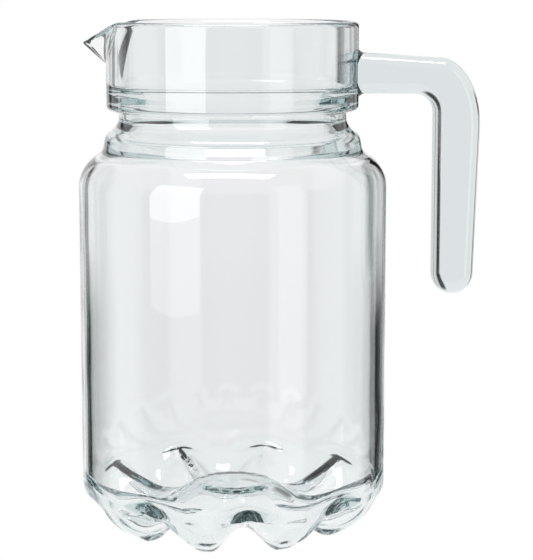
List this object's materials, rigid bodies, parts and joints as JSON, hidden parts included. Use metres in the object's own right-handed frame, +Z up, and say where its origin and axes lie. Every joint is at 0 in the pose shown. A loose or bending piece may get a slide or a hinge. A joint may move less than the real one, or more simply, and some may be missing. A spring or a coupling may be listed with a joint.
{
  "type": "water jug",
  "caption": "Wide-mouthed clear glass jug with a straight body, lobed foot, beaded neck, pouring collar with a V spout and an open L-shaped handle.",
  "frame": {"origin": "centre of the box around the jug, at the table", "axes": "+Z up, -X the way the spout pours, +X towards the handle, the jug's own axis 17.85 mm to the spout side of the origin"},
  "size_m": [0.1556, 0.12, 0.1996],
  "materials": {
    "glass_thick": "pressed gloss, faint green in the thick edges",
    "glass_wall": "blown gloss, near colourless",
    "glass_handle": "pressed gloss, faint blue grey"
  },
  "bodies": {
    "root": {"collar": "glass_thick", "neck_bead": "glass_thick", "body_wall": "glass_wall", "lobed_base": "glass_wall", "handle": "glass_handle"}
  },
  "joints": []
}
